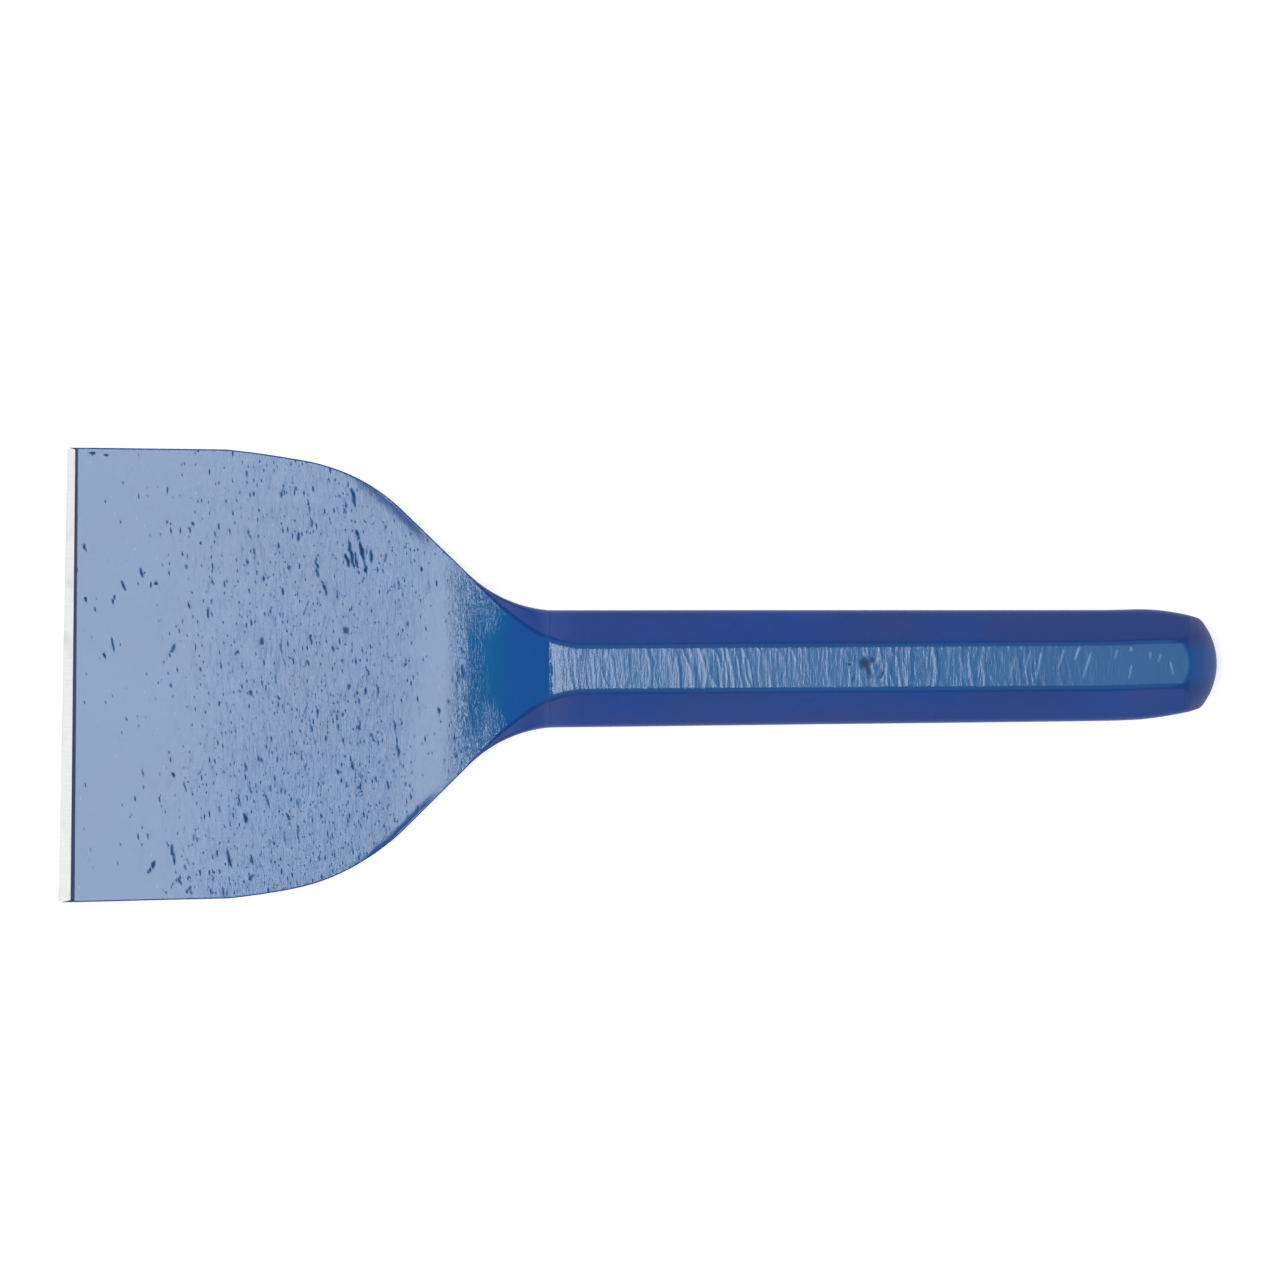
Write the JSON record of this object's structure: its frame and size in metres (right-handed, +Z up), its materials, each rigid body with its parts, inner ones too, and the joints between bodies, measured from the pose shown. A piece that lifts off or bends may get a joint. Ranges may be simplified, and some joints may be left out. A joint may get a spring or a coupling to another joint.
{
  "type": "brick bolster chisel",
  "caption": "Forged brick bolster with a wide flat blade, a ground cutting edge, an octagonal shank and a domed struck head, under blue lacquer.",
  "frame": {"origin": "centre of the overall box in X and Y, on the plane that the shank's lower facet rests on", "axes": "+X along the tool from the cutting edge to the struck head, +Y across the blade, +Z up from the surface it lies on"},
  "size_m": [0.2549, 0.0999, 0.025],
  "materials": {
    "forged_steel": "forged carbon steel, ground bright on the two bevels of the cutting edge",
    "blue_lacquer": "hard glossy blue lacquer over a pitted and wrinkled forged surface"
  },
  "bodies": {
    "root": {"forged_steel_body": "forged_steel", "lacquer_coat": "blue_lacquer"}
  },
  "joints": []
}
